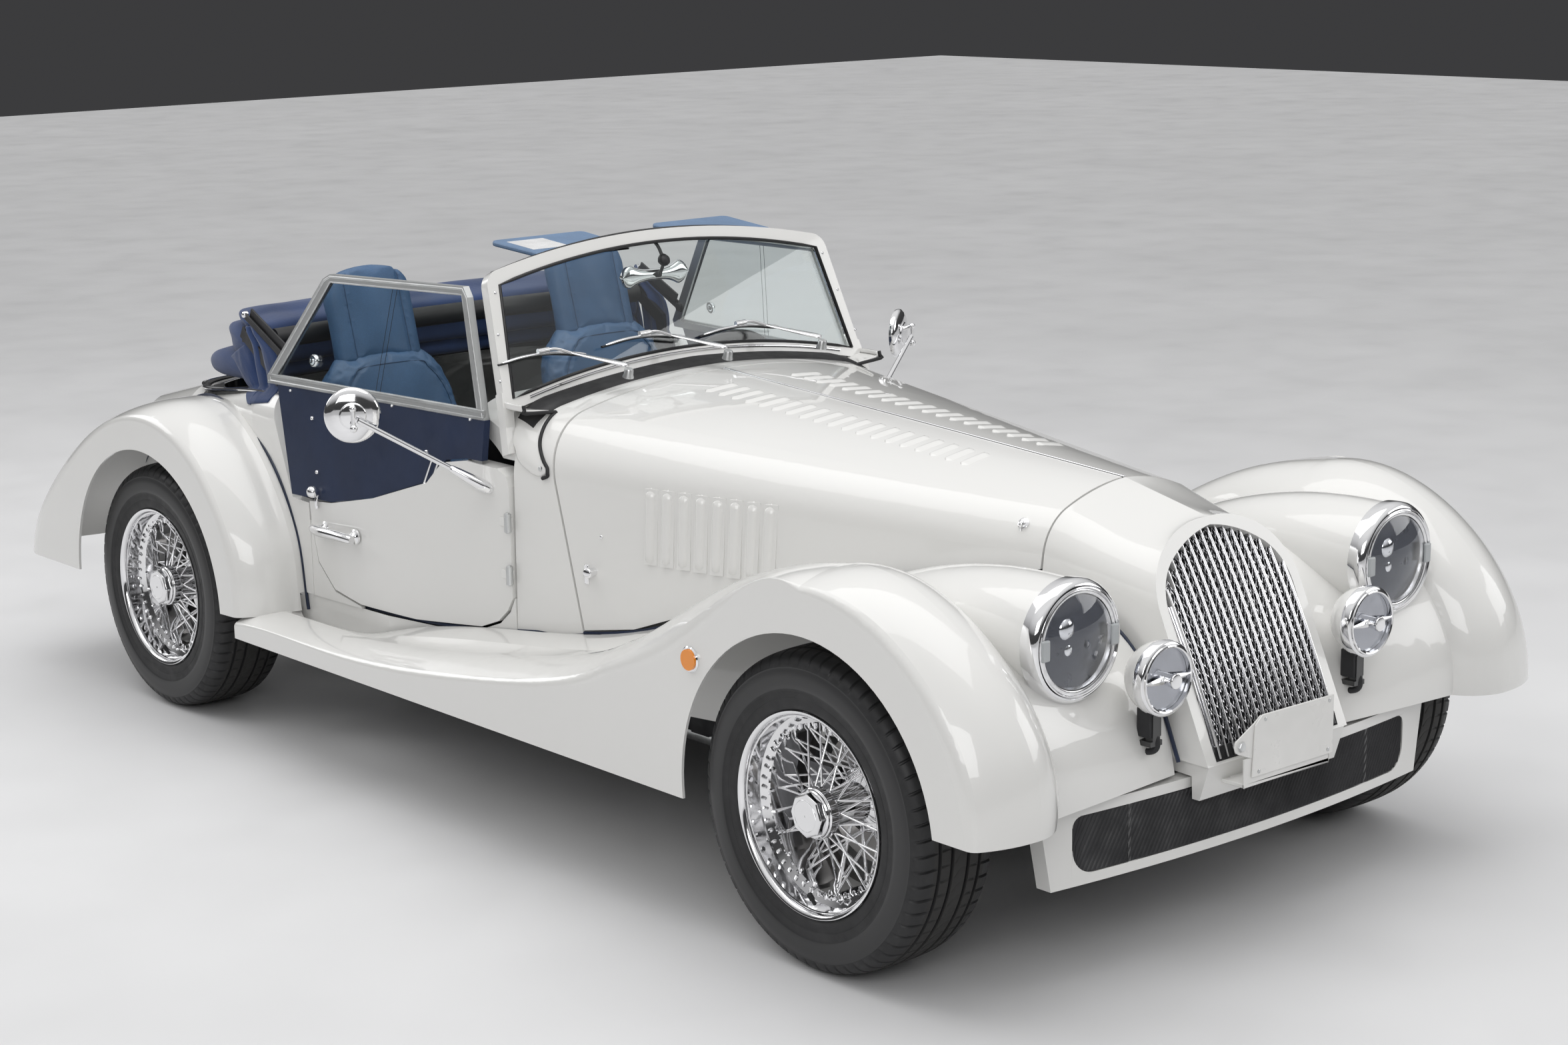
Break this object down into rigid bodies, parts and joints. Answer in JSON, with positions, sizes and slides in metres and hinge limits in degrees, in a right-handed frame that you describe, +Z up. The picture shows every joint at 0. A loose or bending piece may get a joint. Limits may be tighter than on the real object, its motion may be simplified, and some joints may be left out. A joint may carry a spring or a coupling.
{
  "type": "roadster convertible",
  "caption": "Open two-seat classic roadster with separate wings, louvred two-part bonnet, wire wheels, cutaway doors and a folded soft top.",
  "frame": {"origin": "on the ground, midway between the ends and the sides", "axes": "+Y to the tail, +X to the car's left-hand side, +Z up"},
  "size_m": [1.7674, 3.76, 1.2386],
  "materials": {
    "body_paint": "pearl gloss",
    "black_frame": "satin",
    "bright_trim": "polished",
    "black_mesh": "matte",
    "plate_white": "gloss",
    "clear_glass": "clear",
    "lamp_plastic": "gloss",
    "hood_cloth": "woven",
    "blue_leather": "soft",
    "dash_black": "satin",
    "steel_pipe": "brushed",
    "upright": "machined",
    "tyre_rubber": "matte"
  },
  "bodies": {
    "body": {"cowl": "body_paint", "scuttle": "body_paint", "rear_body": "body_paint", "body_floor": "body_paint", "front_bumper": "body_paint", "windscreen_frame": "body_paint", "front_wing_left": "body_paint", "front_wing_right": "body_paint", "rear_wing_left": "body_paint", "rear_wing_right": "body_paint", "chassis": "black_frame", "engine_block": "black_frame", "front_suspension": "black_frame", "rear_axle": "black_frame", "hood_frame": "black_frame", "steering_column": "black_frame", "grille": "bright_trim", "headlamps": "bright_trim", "spot_lamps": "bright_trim", "wipers": "bright_trim", "rear_view_mirror": "bright_trim", "bonnet_hinge": "bright_trim", "bumper_mesh": "black_mesh", "number_plates": "plate_white", "lamp_lenses": "clear_glass", "windscreen_glass": "clear_glass", "signal_lamps": "lamp_plastic", "folded_hood": "hood_cloth", "sun_visors": "hood_cloth", "seats": "blue_leather", "dashboard": "dash_black", "exhaust": "steel_pipe"},
    "door_left": {"door_left": "body_paint", "side_screen_left": "hood_cloth", "side_glass_left": "clear_glass", "door_mirror_left": "bright_trim"},
    "door_right": {"door_right": "body_paint", "side_screen_right": "hood_cloth", "side_glass_right": "clear_glass", "door_mirror_right": "bright_trim"},
    "bonnet_left": {"bonnet_left": "body_paint"},
    "bonnet_right": {"bonnet_right": "body_paint"},
    "knuckle_left": {"knuckle_left": "upright"},
    "knuckle_right": {"knuckle_right": "upright"},
    "steering_wheel": {"steering_wheel": "dash_black"},
    "wheel_front_left": {"tyre_front_left": "tyre_rubber", "wire_wheel_front_left": "bright_trim"},
    "wheel_front_right": {"tyre_front_right": "tyre_rubber", "wire_wheel_front_right": "bright_trim"},
    "wheel_rear_left": {"tyre_rear_left": "tyre_rubber", "wire_wheel_rear_left": "bright_trim"},
    "wheel_rear_right": {"tyre_rear_right": "tyre_rubber", "wire_wheel_rear_right": "bright_trim"}
  },
  "joints": [
    {"name": "door_left_hinge", "type": "hinge", "parent": "body", "child": "door_left", "pos_m": [0.569, -0.106, 0.585], "axis": [0, 0, -1], "range_deg": [0, 62]},
    {"name": "bonnet_left_hinge", "type": "hinge", "parent": "body", "child": "bonnet_left", "pos_m": [0, -0.8, 0.89541], "axis": [0, -0.998, -0.0624], "range_deg": [0, 60]},
    {"name": "steer_left", "type": "hinge", "parent": "body", "child": "knuckle_left", "pos_m": [0.588, -1.36, 0.3135], "axis": [0, 0, 1], "range_deg": [-28, 28]},
    {"name": "spin_front_left", "type": "hinge", "parent": "knuckle_left", "child": "wheel_front_left", "pos_m": [0.692, -1.36, 0.3135], "axis": [1, 0, 0], "continuous": true},
    {"name": "spin_rear_left", "type": "hinge", "parent": "body", "child": "wheel_rear_left", "pos_m": [0.672, 1.16, 0.3135], "axis": [1, 0, 0], "continuous": true},
    {"name": "door_right_hinge", "type": "hinge", "parent": "body", "child": "door_right", "pos_m": [-0.569, -0.106, 0.585], "axis": [0, 0, 1], "range_deg": [0, 62]},
    {"name": "bonnet_right_hinge", "type": "hinge", "parent": "body", "child": "bonnet_right", "pos_m": [0, -0.8, 0.89541], "axis": [0, 0.998, 0.0624], "range_deg": [0, 60]},
    {"name": "steer_right", "type": "hinge", "parent": "body", "child": "knuckle_right", "pos_m": [-0.588, -1.36, 0.3135], "axis": [0, 0, 1], "range_deg": [-28, 28]},
    {"name": "spin_front_right", "type": "hinge", "parent": "knuckle_right", "child": "wheel_front_right", "pos_m": [-0.692, -1.36, 0.3135], "axis": [1, 0, 0], "continuous": true},
    {"name": "spin_rear_right", "type": "hinge", "parent": "body", "child": "wheel_rear_right", "pos_m": [-0.672, 1.16, 0.3135], "axis": [1, 0, 0], "continuous": true},
    {"name": "steering_wheel_turn", "type": "hinge", "parent": "body", "child": "steering_wheel", "pos_m": [0.335, 0.262, 0.772], "axis": [0, 0.9135, 0.4067], "range_deg": [-430, 430]}
  ],
  "couplings": [
    {"joint": "steer_right", "follows": "steer_left", "ratio": 1},
    {"joint": "steering_wheel_turn", "follows": "steer_left", "ratio": 15}
  ]
}
